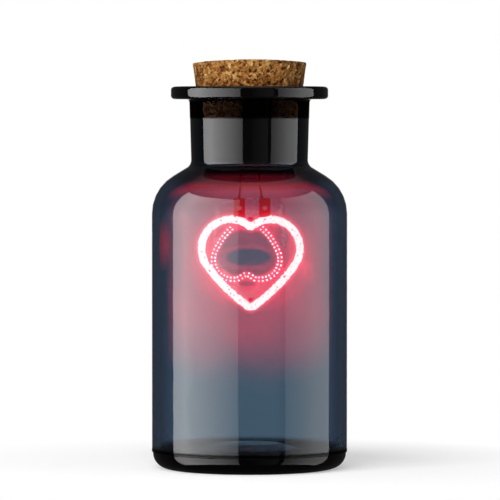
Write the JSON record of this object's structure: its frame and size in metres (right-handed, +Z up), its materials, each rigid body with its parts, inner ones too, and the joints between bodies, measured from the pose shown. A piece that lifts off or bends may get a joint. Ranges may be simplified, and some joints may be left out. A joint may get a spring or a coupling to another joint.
{
  "type": "cork bottle light",
  "caption": "Smoked-glass bottle with a wide lip, closed by a tapered cork that carries a glowing heart on two stiff leads, with its cells and slide switch housed in the cork.",
  "frame": {"origin": "centre of the bottle's base, on the surface that it stands on", "axes": "+Z up along the bottle's axis, -Y towards the face of the heart, +X to the right of someone who looks at the heart"},
  "size_m": [0.082, 0.082, 0.1711],
  "materials": {
    "smoked_glass": "clear smoked glass, polished",
    "cork": "agglomerate cork, matte",
    "housing": "moulded black plastic",
    "cap": "moulded black plastic",
    "knob": "ribbed pale plastic",
    "steel": "zinc-plated steel",
    "cells": "nickel-plated can",
    "contacts": "plated spring bronze",
    "board": "green solder mask",
    "electronics": "moulded epoxy",
    "solder": "bright solder",
    "black_rubber": "soft black rubber",
    "lead_sleeve": "dark red insulation",
    "terminal": "red enamel on steel",
    "heart_silicone": "milky silicone, lit",
    "strip": "flexible film, red",
    "led": "lit chip"
  },
  "bodies": {
    "bottle": {"glass_bottle": "smoked_glass"},
    "stopper": {"cork_stopper": "cork", "wire_grommet": "black_rubber", "module_case": "housing", "module_lid": "housing", "lid_screws": "steel", "circuit_board": "board", "driver_chip": "electronics", "resistors": "electronics", "cell_cup": "housing", "coin_cell_lower": "cells", "coin_cell_upper": "cells", "negative_spring": "contacts", "positive_contact": "contacts", "switch_body": "steel", "lead_wire_left": "lead_sleeve", "lead_wire_right": "lead_sleeve", "terminal_left": "terminal", "terminal_right": "terminal", "solder_joints": "solder", "heart_tube": "heart_silicone", "heart_strip": "strip", "heart_leds": "led", "loop_strip": "strip", "loop_leds": "led"},
    "cap": {"battery_cap": "cap", "cap_seal": "black_rubber"},
    "knob": {"switch_knob": "knob"}
  },
  "joints": [
    {"name": "stopper_lift", "type": "slide", "parent": "bottle", "child": "stopper", "axis": [0, 0, 1], "range_m": [0, 0.024]},
    {"name": "cap_turn", "type": "hinge", "parent": "stopper", "child": "cap", "pos_m": [-0.0045, 0, 0.17], "axis": [0, 0, 1], "range_deg": [0, 45]},
    {"name": "switch_slide", "type": "slide", "parent": "stopper", "child": "knob", "axis": [0, 1, 0], "range_m": [-0.002, 0]}
  ]
}
